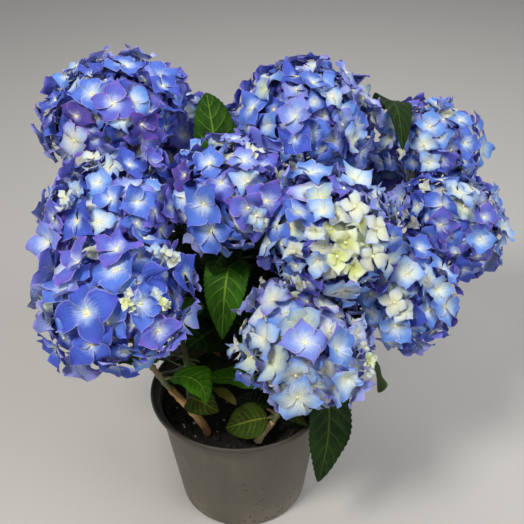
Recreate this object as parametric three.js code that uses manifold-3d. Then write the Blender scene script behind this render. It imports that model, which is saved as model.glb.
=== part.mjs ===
// A blue mophead hydrangea in a plastic nursery pot, as a florist sells it.
// Four woody canes rise from the compost. Leafy green shoots grow from the canes, and each
// shoot carries one round flower head made of four-petalled florets.
// Millimetres, +Z up. The origin is the centre of the pot's flat underside, and -Y is the front.
import * as THREE from "three";
import { mergeVertices } from "three/addons/utils/BufferGeometryUtils.js";
import Module from "manifold-3d";

const wasm = await Module();
wasm.setup();

// Driving dimensions
const clearance = 0.3; // between pieces that touch
const pot = {
  height: 142,
  rimRadius: 95,
  lipDepth: 8, // the band under the rim that stands out from the wall
  shoulderRadius: 87,
  baseRadius: 69,
  baseRounding: 3,
  wall: 2,
  floor: 3,
};
const compost = { top: 127, crown: 4 };
const potSides = 44;

// Woody canes. Foot and tip are places seen from above, and tipHeight is above the ground.
const cane = { footRadius: 3.9, tipRadius: 3.3, sides: 7, steps: 4 };
const caneRise = 0.2; // share of its height that a cane climbs upright
const canes = {
  front_left: { foot: [-33, -57], tip: [-65, -60], tipHeight: 191 },
  front_right: { foot: [18, -68], tip: [33, -66], tipHeight: 152 },
  rear_left: { foot: [-22, 18], tip: [-32, 24], tipHeight: 214 },
  rear_right: { foot: [24, 12], tip: [36, 22], tipHeight: 206 },
};

// Flower heads, each with the cane that its shoot grows from and how far below the cane's tip the
// shoot leaves it. Place is a bearing round the pot from the back (+Y) towards the right (+X), a reach from
// the pot's axis and a height. Size is half the head's width and its depth over its width. Lean is
// how far the head tilts and the bearing that it tilts towards.
const headPlan = {
  top_left: { cane: "rear_left", leave: 0, place: [-50, 154, 411], size: [80, 0.7], lean: [16, -60] },
  mid_left: { cane: "front_left", leave: 18, place: [-95, 114, 353], size: [76, 0.72], lean: [30, -115] },
  front_left: { cane: "front_left", leave: 0, place: [-131, 132, 316], size: [77, 0.74], lean: [20, -160] },
  top_centre: { cane: "rear_right", leave: 0, place: [34, 127, 392], size: [77, 0.9], lean: [20, 150] },
  centre: { cane: "rear_left", leave: 16, place: [-90, 2, 369], size: [63, 0.93], lean: [20, 190] },
  centre_front: { cane: "rear_right", leave: 22, place: [108, 89, 343], size: [70, 0.84], lean: [30, 170] },
  bottom_front: { cane: "front_right", leave: 0, place: [140, 98, 255], size: [69, 0.82], lean: [25, 150] },
  top_right: { cane: "rear_right", leave: 36, place: [58, 239, 354], size: [60, 0.92], lean: [25, 70] },
  mid_right: { cane: "rear_right", leave: 48, place: [73, 224, 299], size: [68, 0.85], lean: [40, 85] },
  low_right: { cane: "front_right", leave: 12, place: [97, 161, 273], size: [61, 0.84], lean: [60, 120] },
  rear_left: { cane: "rear_left", leave: 32, place: [-16, 214, 325], size: [74, 0.76], lean: [35, -20] },
  rear_right: { cane: "rear_right", leave: 60, place: [36, 240, 272], size: [75, 0.76], lean: [45, 30] },
};
const head = {
  florets: 17,
  floretRadius: 0.38, // over the head's radius
  sizeSpread: 0.24,
  outer: [0.88, 0.96], // how far out a floret's eye lies, over the head's radius
  notch: 0.45, // reach of the notch between two petals, over a petal's reach
  tipLift: 1,
  notchLift: 3,
  coverage: 122, // degrees from the top of the head to its lowest florets
  coreShare: 0.76,
  rootShare: 0.5, // how deep a floret is rooted
  pressGap: 0.6, // between the surfaces of two heads that press on each other
  pressEdge: 2, // a floret whose eye lies nearer than this to a neighbour is left out
  pole: 0.05, // a floret nearer than this to the head's top takes the head's own direction
  stalkRadius: 2.4,
  stalkSides: 6,
  neck: 14, // from the head's underside to the tip of its shoot
};

// Leafy shoots. Climb is how much of its first direction a side shoot takes from its cane.
const shoot = {
  footRadius: 3,
  tipRadius: 2.4,
  nodes: [0.14, 0.28, 0.42, 0.56, 0.7, 0.84],
  sides: 5,
  steps: 6,
  climb: 0.75,
  seat: 0.7, // how far its foot stands off its cane, over its radius
  leaving: 0.3, // reach of the bend at its foot, over the distance to its head
  arriving: 0.36, // reach of the bend under its head
};
const leaf = {
  length: 108,
  width: 70,
  sizes: [0.8, 1.14], // smallest and largest, over its length and width
  petiole: 0.2, // share of the length
  fullness: [0.8, 0.75], // lower numbers bring the widest place to the foot and fill the blade out
  petioleRadius: 1.6,
  thickness: 1.9,
  rise: [34, 48], // degrees above level that a leaf sets out at
  dip: 5.5, // degrees lower at each further try
  archShare: 0.55,
  droop: [18, 34], // how far its tip hangs below the line that it sets out on
  swing: [20, 14], // degrees to either side, and how much more at each further try
  shrink: 0.05, // smaller at each further try
  tests: 15, // steps along a leaf at which its room is tested
  testSides: [-1, -0.67, -0.33, 0, 0.33, 0.67, 1], // and places over half its width
  limbTests: 24, // places along a cane or shoot that it is kept clear of
  tries: 13, // other directions that a leaf may take where its place is filled
  room: 5.5, // from another leaf
  headRoom: 8,
  limbRoom: 7.5,
  ownRoom: 3, // from its own shoot
  potRoom: 6,
  lowest: 165, // of a leaf that reaches outside the pot
  slant: 57, // degrees from upright at which the front leaves still lie under a head
  lee: 0.86, // how far out under a head that is, over its radius
};
// Leaves that show between the heads, each with the shoot and the share of it that it grows at, the
// place that it arches towards, the place of its tip, its width and the share of it that is stalk.
const leafPlan = [
  { from: "centre", share: 0.78, arch: [-9, -26, 330], tip: [-14, -45, 238], blade: [44, 0.2] },
  { from: "centre", share: 0.2, arch: [-16, -14, 236], tip: [-49, -42, 226], blade: [58, 0.2] },
  { from: "bottom_front", share: 0.5, arch: [-2, -58, 210], tip: [-30, -62, 203], blade: [34, 0.2] },
  { from: "front_left", share: 0.2, arch: [-29, -76, 230], tip: [-30, -82, 191], blade: [42, 0.12] },
  { from: "mid_left", share: 0.02, arch: [-44, -84, 205], tip: [-19, -72, 171], blade: [30, 0.1] },
  { from: "mid_left", share: 0.12, arch: [-18, -60, 195], tip: [-2, -74, 181], blade: [15, 0.45] },
  { from: "bottom_front", share: 0.1, arch: [16, -78, 168], tip: [-14, -66, 143], blade: [36, 0.2] },
  { from: "bottom_front", share: 0.2, arch: [50, -66, 162], tip: [67, -72, 150], blade: [20, 0.2] },
  { from: "low_right", share: 0.55, arch: [100, -88, 205], tip: [76, -102, 104], blade: [48, 0.3] },
  { from: "low_right", share: 0.75, arch: [150, 22, 170], tip: [150, 24, 106], blade: [60, 0.2] },
  { from: "centre", share: 0.42, arch: [-18, 76, 395], tip: [-26, 95, 430], blade: [52, 0.3] },
  { from: "centre", share: 0.5, arch: [-40, 14, 281], tip: [-55, 34, 334], blade: [44, 0.3] },
  { from: "top_centre", share: 0.45, arch: [23, 50, 295], tip: [8, 25, 241], blade: [40, 0.25] },
  { from: "rear_right", share: 0.6, arch: [169, 205, 482], tip: [160, 51, 386], blade: [32, 0.52] },
  { from: "mid_left", share: 0.5, arch: [-150, 14, 300], tip: [-206, -6, 252], blade: [60, 0.2] },
];

// Salts that keep one choice of the seeded rule apart from another.
const salt = { spin: 1, floretSize: 2, leafSize: 5, droop: 7, swing: 11, rise: 31 };

const { lerp, clamp, degToRad } = THREE.MathUtils;
const material = {
  pot: new THREE.MeshStandardMaterial({ color: 0x6d675f, roughness: 0.62, metalness: 0 }),
  compost: new THREE.MeshStandardMaterial({ color: 0x1d1712, roughness: 0.95, metalness: 0 }),
  bark: new THREE.MeshStandardMaterial({ color: 0xa9794a, roughness: 0.8, metalness: 0 }),
  leaf: new THREE.MeshStandardMaterial({ color: 0x2c5a20, roughness: 0.5, metalness: 0 }),
  petal: new THREE.MeshStandardMaterial({ color: 0x6a78d8, roughness: 0.6, metalness: 0 }),
};

// The same value from 0 to 1 each time for a whole number and a salt.
function chance(index, seed) {
  const wave = Math.sin(index * 12.9898 + seed * 78.233) * 43758.5453;
  return wave - Math.floor(wave);
}

// A level direction at a bearing.
function bearingVector(degrees) {
  return new THREE.Vector3(Math.sin(degToRad(degrees)), Math.cos(degToRad(degrees)), 0);
}

function solidOf(geometry) {
  const bare = geometry.clone();
  bare.deleteAttribute("normal");
  bare.deleteAttribute("uv");
  const merged = mergeVertices(bare, 1e-4);
  return new wasm.Manifold(
    new wasm.Mesh({
      numProp: 3,
      vertProperties: new Float32Array(merged.attributes.position.array),
      triVerts: new Uint32Array(merged.index.array),
    }),
  );
}

function meshOf(name, solid, finish) {
  const { vertProperties, triVerts } = solid.getMesh();
  const geometry = new THREE.BufferGeometry();
  geometry.setAttribute("position", new THREE.BufferAttribute(new Float32Array(vertProperties), 3));
  geometry.setIndex(new THREE.BufferAttribute(new Uint32Array(triVerts), 1));
  const mesh = new THREE.Mesh(geometry, finish);
  mesh.name = name;
  return mesh;
}

// Bends an upright cylinder or cone of unit radius and height along a curve. At each share of the
// length, frame() gives the directions across and over it, and width() and depth() half its section.
function bendAlong(geometry, curve, frame, width, depth) {
  const place = geometry.getAttribute("position");
  for (let i = 0; i < place.count; i += 1) {
    const share = clamp(place.getY(i) + 0.5, 0, 1);
    const { across, over } = frame(share);
    const point = curve.getPoint(share);
    if (Math.hypot(place.getX(i), place.getZ(i)) > 1e-6) {
      const turn = Math.atan2(place.getZ(i), place.getX(i));
      point.addScaledVector(across, Math.cos(turn) * width(share));
      point.addScaledVector(over, Math.sin(turn) * depth(share));
    }
    place.setXYZ(i, point.x, point.y, point.z);
  }
  return geometry;
}

// A round limb that tapers from its foot to its tip.
function limb(curve, footRadius, tipRadius, sides, steps) {
  const { normals, binormals } = curve.computeFrenetFrames(steps);
  const frame = (share) => {
    const step = Math.round(share * steps);
    return { across: binormals[step], over: normals[step] };
  };
  const radius = (share) => lerp(footRadius, tipRadius, share);
  return solidOf(bendAlong(new THREE.CylinderGeometry(1, 1, 1, sides, steps), curve, frame, radius, radius));
}

function turned(outline) {
  const points = outline.map(([radius, level]) => new THREE.Vector2(radius, level));
  return solidOf(new THREE.LatheGeometry(points, potSides).rotateX(Math.PI / 2));
}

function buildPot() {
  const { height, rimRadius, lipDepth, shoulderRadius, baseRadius, baseRounding, wall, floor } = pot;
  return turned([
    [0, 0],
    [baseRadius - baseRounding, 0],
    [baseRadius, baseRounding],
    [shoulderRadius, height - lipDepth],
    [rimRadius - wall / 2, height - lipDepth + wall],
    [rimRadius, height - wall],
    [rimRadius - wall / 2, height],
    [rimRadius - wall * 1.5, height],
    [rimRadius - wall * 2, height - lipDepth + wall],
    [shoulderRadius - wall, height - lipDepth - wall / 2],
    [baseRadius - wall, floor],
    [0, floor],
  ]);
}

function buildCompost() {
  const low = pot.floor + clearance;
  const edge = compost.top - compost.crown;
  const slope = (pot.shoulderRadius - pot.baseRadius) / (pot.height - pot.lipDepth - pot.floor);
  const inner = (level) => pot.baseRadius - pot.wall - 1.5 * clearance + slope * (level - pot.floor);
  return turned([
    [0, low],
    [inner(low), low],
    [inner(edge), edge],
    [pot.baseRadius, compost.top],
    [0, compost.top],
  ]);
}

function caneCurve({ foot, tip, tipHeight }) {
  const start = new THREE.Vector3(foot[0], foot[1], compost.top + clearance);
  const end = new THREE.Vector3(tip[0], tip[1], tipHeight);
  const bow = start.clone().setZ(lerp(start.z, end.z, caneRise));
  return new THREE.QuadraticBezierCurve3(start, bow, end);
}

// Where a head sits and which way it faces.
function poseOf([name, { cane: from, leave, place, size, lean }]) {
  const [bearing, reach, height] = place;
  const [radius, squat] = size;
  const centre = bearingVector(bearing).multiplyScalar(reach).setZ(height);
  const axis = bearingVector(lean[1]).multiplyScalar(Math.sin(degToRad(lean[0])));
  axis.z = Math.cos(degToRad(lean[0]));
  const side = new THREE.Vector3().crossVectors(axis, new THREE.Vector3(0, 1, 0)).normalize();
  const front = new THREE.Vector3().crossVectors(axis, side);
  return { name, from, leave, bearing, reach, radius, squat, centre, axis, side, front };
}

const heads = Object.entries(headPlan).map(poseOf);

// Planes that part a head from its neighbours, each at a place and facing out of the head.
function wallsOf(one) {
  return heads
    .filter((other) => other !== one)
    .map((other) => {
      const share = one.radius / (one.radius + other.radius);
      const facing = other.centre.clone().sub(one.centre).normalize();
      const place = one.centre.clone().lerp(other.centre, share);
      return { place: place.addScaledVector(facing, -head.pressGap / 2), facing };
    });
}

// Moves a point back onto the walls that it has crossed. One wall can push it over another, so
// this is done a few times.
function keepInside(point, walls) {
  for (let pass = 0; pass < 4; pass += 1) {
    for (const { place, facing } of walls) {
      const beyond = point.clone().sub(place).dot(facing);
      if (beyond > 0) point.addScaledVector(facing, -beyond);
    }
  }
  return point;
}

// A point of the head's round outline in a direction given by its polar and turning angles.
function onHead(one, polar, turn, share) {
  const wide = one.radius * share * Math.sin(polar);
  return one.centre
    .clone()
    .addScaledVector(one.side, wide * Math.cos(turn))
    .addScaledVector(one.front, wide * Math.sin(turn))
    .addScaledVector(one.axis, one.radius * one.squat * share * Math.cos(polar));
}

// The way a floret faces there: square to the outline.
function facingOnHead(one, point) {
  const offset = point.clone().sub(one.centre);
  const rise = offset.dot(one.axis);
  return offset.addScaledVector(one.axis, rise / one.squat ** 2 - rise).normalize();
}

// A floret is a shallow star of four petals that narrows to a root deep in the head. The florets
// follow a golden-angle spiral from the top of the head down.
function floret(one, index, walls) {
  const lowest = Math.cos(degToRad(head.coverage));
  const polar = Math.acos(1 - ((index + 0.5) / head.florets) * (1 - lowest));
  const turn = index * Math.PI * (3 - Math.sqrt(5)) + one.bearing;
  const eye = onHead(one, polar, turn, lerp(...head.outer, chance(index, one.reach)));
  const nearWall = ({ place, facing }) => eye.clone().sub(place).dot(facing) > -head.pressEdge;
  if (walls.some(nearWall)) return null;
  const facing = facingOnHead(one, eye);
  const across = new THREE.Vector3().crossVectors(facing, one.axis);
  if (across.length() < head.pole) across.copy(one.side);
  across.normalize();
  const onward = new THREE.Vector3().crossVectors(facing, across);
  const spin = chance(index, one.reach + salt.spin) * Math.PI;
  const spread = head.sizeSpread * (chance(index, one.reach + salt.floretSize) - 0.5);
  const size = one.radius * head.floretRadius * (1 + spread);
  const root = one.centre.clone().lerp(eye, head.rootShare);
  const star = new THREE.ConeGeometry(1, 1, 8, 1);
  const place = star.getAttribute("position");
  for (let i = 0; i < place.count; i += 1) {
    const x = place.getX(i);
    const z = place.getZ(i);
    const point = place.getY(i) > 0 ? root.clone() : eye.clone();
    if (Math.hypot(x, z) > 0.5) {
      const step = Math.round(Math.atan2(z, x) / (Math.PI / 4));
      const tip = step % 2 === 0;
      const angle = spin + step * (Math.PI / 4);
      const long = size * (tip ? 1 : head.notch);
      point.addScaledVector(across, long * Math.cos(angle));
      point.addScaledVector(onward, long * Math.sin(angle));
      point.addScaledVector(facing, tip ? head.tipLift : head.notchLift);
    }
    keepInside(point, walls);
    place.setXYZ(i, point.x, point.y, point.z);
  }
  return solidOf(star);
}

function headCore(one, walls) {
  const core = new THREE.IcosahedronGeometry(1, 1);
  const place = core.getAttribute("position");
  const unit = new THREE.Vector3();
  for (let i = 0; i < place.count; i += 1) {
    unit.fromBufferAttribute(place, i);
    const polar = Math.acos(clamp(unit.z, -1, 1));
    const point = keepInside(onHead(one, polar, Math.atan2(unit.y, unit.x), head.coreShare), walls);
    place.setXYZ(i, point.x, point.y, point.z);
  }
  return solidOf(core);
}

// The tip of the shoot, under the head.
function neckOf(one) {
  const depth = one.radius * one.squat * head.coreShare + head.neck;
  return one.centre.clone().addScaledVector(one.axis, -depth);
}

function buildHead(one) {
  const walls = wallsOf(one);
  const foot = neckOf(one).addScaledVector(one.axis, clearance);
  const { stalkRadius, stalkSides } = head;
  const stalk = limb(new THREE.LineCurve3(foot, one.centre), stalkRadius, stalkRadius, stalkSides, 1);
  const pieces = [headCore(one, walls), stalk];
  for (let i = 0; i < head.florets; i += 1) {
    const made = floret(one, i, walls);
    if (made) pieces.push(made);
  }
  return wasm.Manifold.union(pieces);
}

// A shoot leaves the tip of its cane, or its side a little lower, and turns up to its head.
function shootCurve(one) {
  const stem = caneCurve(canes[one.from]);
  const share = 1 - one.leave / stem.getLength();
  const neck = neckOf(one);
  const start = stem.getPoint(share);
  const along = stem.getTangent(share);
  const leaving = along.clone();
  if (one.leave > 0) {
    const outwards = neck.clone().sub(start);
    outwards.addScaledVector(along, -outwards.dot(along)).normalize();
    leaving.multiplyScalar(shoot.climb).add(outwards).normalize();
    start.addScaledVector(outwards, cane.tipRadius + clearance + shoot.footRadius * shoot.seat);
  } else {
    start.addScaledVector(along, clearance);
  }
  const span = neck.distanceTo(start);
  return new THREE.CubicBezierCurve3(
    start,
    start.clone().addScaledVector(leaving, span * shoot.leaving),
    neck.clone().addScaledVector(one.axis, -span * shoot.arriving),
    neck,
  );
}

// A leaf's midrib runs from inside its shoot over an arch to its tip, and its blade lies square to
// the plane of that arch.
function leafOf(root, arch, tip, [width, petiole]) {
  const midrib = new THREE.QuadraticBezierCurve3(root, arch, tip);
  const rising = arch.clone().sub(root);
  const across = tip.clone().sub(arch).cross(rising).normalize();
  return { midrib, across, width, petiole };
}

// Half the width of a leaf at a share of its length: a thin stalk, then a pointed oval blade.
function leafHalfWidth(share, { width, petiole }) {
  const blade = (share - petiole) / (1 - petiole);
  if (blade <= 0) return leaf.petioleRadius;
  const [along, across] = leaf.fullness;
  return leaf.petioleRadius + (width / 2) * Math.sin(Math.PI * blade ** along) ** across;
}

// Points over a leaf that its room is tested with.
function leafPoints(grown) {
  const points = [];
  for (let step = 2; step < leaf.tests; step += 1) {
    const share = step / leaf.tests;
    for (const side of leaf.testSides) {
      const out = leafHalfWidth(share, grown) * side;
      points.push(grown.midrib.getPoint(share).addScaledVector(grown.across, out));
    }
  }
  return points;
}

const shoots = heads.map((one) => ({ one, curve: shootCurve(one) }));
const pointsOn = (name, curve) => ({ name, points: curve.getPoints(leaf.limbTests) });
const limbPoints = [
  ...Object.values(canes).map((plan) => pointsOn("cane", caneCurve(plan))),
  ...shoots.map(({ one, curve }) => pointsOn(one.name + "_shoot", curve)),
  ...heads.map((one) => ({ name: one.name + "_neck", points: [neckOf(one), one.centre] })),
];
const placedPoints = [];
const leavesOf = new Map(heads.map((one) => [one.name, []]));

function nearHead(point, one) {
  const offset = point.clone().sub(one.centre);
  const rise = offset.dot(one.axis);
  const wide = Math.sqrt(Math.max(offset.lengthSq() - rise * rise, 0));
  return Math.hypot(wide, rise / one.squat) < one.radius + leaf.headRoom;
}

// Whether a head lies over a point, looking up from it at a slant towards the front.
function underHead(point) {
  const out = new THREE.Vector3(0, -Math.sin(degToRad(leaf.slant)), Math.cos(degToRad(leaf.slant)));
  return heads.some((one) => {
    const offset = one.centre.clone().sub(point);
    const along = offset.dot(out);
    return along > 0 && offset.addScaledVector(out, -along).length() < one.radius * leaf.lee;
  });
}

function nearPot(point) {
  const reach = Math.hypot(point.x, point.y);
  if (reach > pot.rimRadius) return point.z < leaf.lowest || (point.y < 0 && !underHead(point));
  if (reach > pot.baseRadius - leaf.potRoom) return point.z < pot.height + leaf.potRoom;
  return point.z < compost.top + leaf.potRoom;
}

// Whether a leaf's points are clear of the heads, the limbs, the pot and the leaves before it.
function hasRoom(points, ownShoot) {
  return points.every((point) => {
    if (nearPot(point) || heads.some((one) => nearHead(point, one))) return false;
    for (const { name, points: others } of limbPoints) {
      const room = name === ownShoot ? leaf.ownRoom : leaf.limbRoom;
      if (others.some((other) => other.distanceTo(point) < room)) return false;
    }
    return !placedPoints.some((other) => other.distanceTo(point) < leaf.room);
  });
}

function keepLeaf(name, grown) {
  placedPoints.push(...leafPoints(grown));
  leavesOf.get(name).push(grown);
}

for (const { from, share, arch, tip, blade } of leafPlan) {
  const { curve } = shoots.find(({ one }) => one.name === from);
  const root = curve.getPoint(share);
  keepLeaf(from, leafOf(root, new THREE.Vector3(...arch), new THREE.Vector3(...tip), blade));
}

// Grows one leaf at a share of a shoot, and turns it further and lower where its place is filled.
function growLeaf({ one, curve }, share, bearing, serial) {
  const root = curve.getPoint(share);
  for (let attempt = 0; attempt < leaf.tries; attempt += 1) {
    const swing = (leaf.swing[0] + leaf.swing[1] * attempt) * (2 * chance(serial, salt.swing + attempt) - 1);
    const rise = degToRad(lerp(...leaf.rise, chance(serial, salt.rise + attempt)) - leaf.dip * attempt);
    const size = lerp(...leaf.sizes, chance(serial, salt.leafSize)) * (1 - leaf.shrink * attempt);
    const out = bearingVector(bearing + swing).multiplyScalar(Math.cos(rise)).setZ(Math.sin(rise));
    const arch = root.clone().addScaledVector(out, leaf.archShare * leaf.length * size);
    const tip = root.clone().addScaledVector(out, leaf.length * size);
    tip.z -= lerp(...leaf.droop, chance(serial, salt.droop));
    const grown = leafOf(root, arch, tip, [leaf.width * size, leaf.petiole]);
    if (hasRoom(leafPoints(grown), one.name + "_shoot")) {
      keepLeaf(one.name, grown);
      return;
    }
  }
}

// Leaves stand in pairs, each pair square to the pair below it. The highest pairs grow first.
let serial = 0;
for (const [step, share] of [...shoot.nodes.entries()].reverse()) {
  for (const grown of shoots) {
    for (const side of [0, 180]) {
      serial += 1;
      growLeaf(grown, share, grown.one.bearing + 90 * step + side, serial);
    }
  }
}

function leafSolid(grown) {
  const { midrib, across, petiole } = grown;
  const frame = (share) => ({ across, over: across.clone().cross(midrib.getTangent(share)) });
  const half = (share) => leafHalfWidth(share, grown);
  const depth = (share) => (share < petiole ? leaf.petioleRadius : leaf.thickness);
  return solidOf(bendAlong(new THREE.ConeGeometry(1, 1, 3, 4), midrib, frame, half, depth));
}

function buildShoot({ one, curve }) {
  const stem = limb(curve, shoot.footRadius, shoot.tipRadius, shoot.sides, shoot.steps);
  return wasm.Manifold.union([stem, ...leavesOf.get(one.name).map(leafSolid)]);
}

const plant = new THREE.Group();
plant.add(meshOf("pot", buildPot(), material.pot));
plant.add(meshOf("compost", buildCompost(), material.compost));
for (const [name, plan] of Object.entries(canes)) {
  const solid = limb(caneCurve(plan), cane.footRadius, cane.tipRadius, cane.sides, cane.steps);
  plant.add(meshOf("cane_" + name, solid, material.bark));
}
for (const grown of shoots) {
  plant.add(meshOf("leafy_shoot_" + grown.one.name, buildShoot(grown), material.leaf));
}
for (const one of heads) plant.add(meshOf("flower_head_" + one.name, buildHead(one), material.petal));

export default plant;
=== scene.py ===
# A blue mophead hydrangea in its nursery pot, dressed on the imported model.
# Shapes are worked out in millimetres and put into the meshes in metres.
import bpy
import numpy as np
from mathutils import Matrix


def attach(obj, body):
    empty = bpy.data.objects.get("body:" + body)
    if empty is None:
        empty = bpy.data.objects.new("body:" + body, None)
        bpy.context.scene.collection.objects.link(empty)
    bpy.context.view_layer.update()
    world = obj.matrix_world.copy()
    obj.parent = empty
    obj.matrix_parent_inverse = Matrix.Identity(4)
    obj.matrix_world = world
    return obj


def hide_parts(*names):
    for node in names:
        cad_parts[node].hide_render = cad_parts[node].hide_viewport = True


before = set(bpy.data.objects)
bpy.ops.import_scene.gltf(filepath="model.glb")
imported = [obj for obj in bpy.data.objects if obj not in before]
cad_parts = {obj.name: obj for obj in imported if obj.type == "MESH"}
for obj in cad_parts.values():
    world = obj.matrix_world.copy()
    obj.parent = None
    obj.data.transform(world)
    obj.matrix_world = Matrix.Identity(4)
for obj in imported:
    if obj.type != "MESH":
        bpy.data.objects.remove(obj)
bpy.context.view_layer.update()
print("loaded", len(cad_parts), "nodes")

# The camera: where it stands, how far it looks down, how it is rolled, and its angle of view
camera = {"place": (0.025, -0.66609, 0.72838), "down": 33.0, "roll": 1.0, "angle": 35.0}


def addPosed(name, data, across, back, place):
    # an object with across to its right, which looks the way opposite to back
    turn = np.eye(4)
    turn[:3, :3] = np.stack([across, np.cross(back, across), back], axis=1)
    turn[:3, 3] = place
    made = bpy.data.objects.new(name, data)
    made.matrix_world = Matrix(turn.tolist())
    bpy.context.collection.objects.link(made)
    return made


def addCamera(plan):
    down, roll = np.radians(plan["down"]), np.radians(plan["roll"])
    up = np.array([0.0, np.sin(down), np.cos(down)])
    back = np.array([0.0, -np.cos(down), np.sin(down)])
    across = np.cos(roll) * np.array([1.0, 0.0, 0.0]) - np.sin(roll) * up
    data = bpy.data.cameras.new("camera")
    data.sensor_fit = "HORIZONTAL"
    data.angle = np.radians(plan["angle"])
    bpy.context.scene.camera = addPosed("camera", data, across, back, plan["place"])


addCamera(camera)


def spiral(index):
    # the turn at each place along a spiral, which grows by the golden angle
    return index * np.pi * (3 - np.sqrt(5))


def chance(index, seed):
    # the same value from 0 to 1 each time for a whole number and a seed
    wave = np.sin(np.asarray(index) * 12.9898 + np.asarray(seed) * 78.233) * 43758.5453
    return wave - np.floor(wave)


def between(low, high, share):
    return low + (high - low) * share


def unit(vectors):
    return vectors / np.maximum(np.linalg.norm(vectors, axis=-1, keepdims=True), 1e-9)


def circle(sides):
    return np.arange(sides) / sides * 2 * np.pi


def bearingVector(degrees):
    # a level direction, from the back (+Y) towards the right (+X)
    turn = np.radians(degrees)
    return np.stack([np.sin(turn), np.cos(turn), np.zeros_like(turn)], axis=-1)


def bezier(controls, shares):
    # points of a Bezier curve of two or three spans: the control points weighted by Bernstein's rule
    controls = np.asarray(controls, float)
    shares = np.reshape(shares, (-1, *[1] * (controls.ndim - 1)))
    rest = 1 - shares
    if len(controls) == 3:
        weights = [rest**2, 2 * rest * shares, shares**2]
    else:
        weights = [rest**3, 3 * rest**2 * shares, 3 * rest * shares**2, shares**3]
    return sum(weight * control for weight, control in zip(weights, controls))


def tangents(controls, shares):
    step = 1e-4
    ahead = bezier(controls, np.clip(shares + step, 0, 1))
    return unit(ahead - bezier(controls, np.clip(shares - step, 0, 1)))


def tone(red, green, blue):
    # a colour as seen on a screen, 0 to 255, in Blender's own scale
    seen = np.array([red, green, blue]) / 255
    return (*np.where(seen <= 0.04045, seen / 12.92, ((seen + 0.055) / 1.055) ** 2.4), 1.0)


class Shape:
    # parts of one piece: points, a pattern place (two numbers) for each point, and faces of three and of
    # four corners, each with the number of its material after its corners
    def __init__(self):
        self.points, self.pattern, self.faces, self.count = [], [], {3: [], 4: []}, 0

    def add(self, points, *parts, pattern=None):
        points = np.asarray(points, float).reshape(-1, 3)
        self.points.append(points)
        self.pattern.append(np.zeros((len(points), 2)) if pattern is None else pattern)
        for faces, slots in parts:
            corners = faces.shape[-1]
            faces = faces.reshape(-1, corners) + self.count
            self.faces[corners].append(np.column_stack([faces, slots]))
        self.count += len(points)

    def gather(self, corners):
        return np.concatenate([np.zeros((0, corners + 1), int), *self.faces[corners]])


def fill(items, label, values, kind):
    items.foreach_set(label, np.asarray(values).astype(kind).ravel())


def makePiece(name, shape, materials, nodes, tiles=0, sharp=None):
    # tiles is how many bake tiles lie along each side; each material's faces share one of them
    points = np.concatenate(shape.points) * 0.001
    fours, threes = shape.gather(4), shape.gather(3)
    sides = np.repeat([4, 3], [len(fours), len(threes)])
    corners = np.concatenate([fours[:, :-1].ravel(), threes[:, :-1].ravel()])
    slots = np.concatenate([fours[:, -1], threes[:, -1]])
    mesh = bpy.data.meshes.new(name)
    mesh.vertices.add(len(points))
    fill(mesh.vertices, "co", points, np.float32)
    mesh.loops.add(len(corners))
    fill(mesh.loops, "vertex_index", corners, np.int32)
    mesh.polygons.add(len(sides))
    fill(mesh.polygons, "loop_start", np.cumsum(sides) - sides, np.int32)
    fill(mesh.polygons, "material_index", slots, np.int32)
    fill(mesh.polygons, "use_smooth", np.ones(len(sides)), bool)
    mesh.update(calc_edges=True)
    for material in materials:
        mesh.materials.append(material)
    pattern = np.concatenate(shape.pattern)[corners]
    fill(mesh.uv_layers.new(name="pattern").data, "uv", pattern, np.float32)
    if tiles:
        tile = np.repeat(slots, sides)
        place = np.stack([tile % tiles, tile // tiles], axis=1)
        baked = (np.clip(pattern, 0, 1) * 0.9 + 0.05 + place) / tiles
        fill(mesh.uv_layers.new(name="OFBake").data, "uv", baked, np.float32)
    if sharp:
        mesh.set_sharp_from_angle(angle=np.radians(sharp))
    piece = bpy.data.objects.new(name, mesh)
    bpy.context.collection.objects.link(piece)
    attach(piece, "root")
    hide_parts(*nodes)
    print("made", name, "with", len(threes) + 2 * len(fours), "triangles")


def lens(rows, columns):
    # the faces of a thin leaf-shaped shell. Its two sheets are grids that share their edge and close to
    # one point at either end. The front's faces come first, wound the other way.
    front = np.zeros((rows + 1, columns + 1), int)
    front[rows] = 1
    front[1:rows] = 2 + np.arange((rows - 1) * (columns + 1)).reshape(rows - 1, -1)
    back = front.copy()
    back[1:rows, 1:columns] = np.arange((rows - 1) * (columns - 1)).reshape(rows - 1, -1) + front.max() + 1
    sheets = []
    for sheet in (front, back):
        foot = np.stack([sheet[0, :-1], sheet[1, 1:], sheet[1, :-1]], axis=1)
        tip = np.stack([sheet[rows, :-1], sheet[rows - 1, :-1], sheet[rows - 1, 1:]], axis=1)
        low, high = sheet[1 : rows - 1], sheet[2:rows]
        first = np.stack([low[:, :-1], low[:, 1:], high[:, 1:]], axis=-1).reshape(-1, 3)
        second = np.stack([low[:, :-1], high[:, 1:], high[:, :-1]], axis=-1).reshape(-1, 3)
        sheets.append(np.concatenate([foot, tip, first, second]))
    return np.concatenate([sheets[0][:, ::-1], sheets[1]])


def shellPoints(front, back):
    # a shell's points: one at either end, the front's rows between them, and the back's without edges
    picks = front[..., [0, -1], front.shape[-2] // 2, :], front[..., 1:-1, :, :], back[..., 1:-1, 1:-1, :]
    return np.concatenate([pick.reshape(*front.shape[:-3], -1, front.shape[-1]) for pick in picks], axis=-2)


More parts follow.
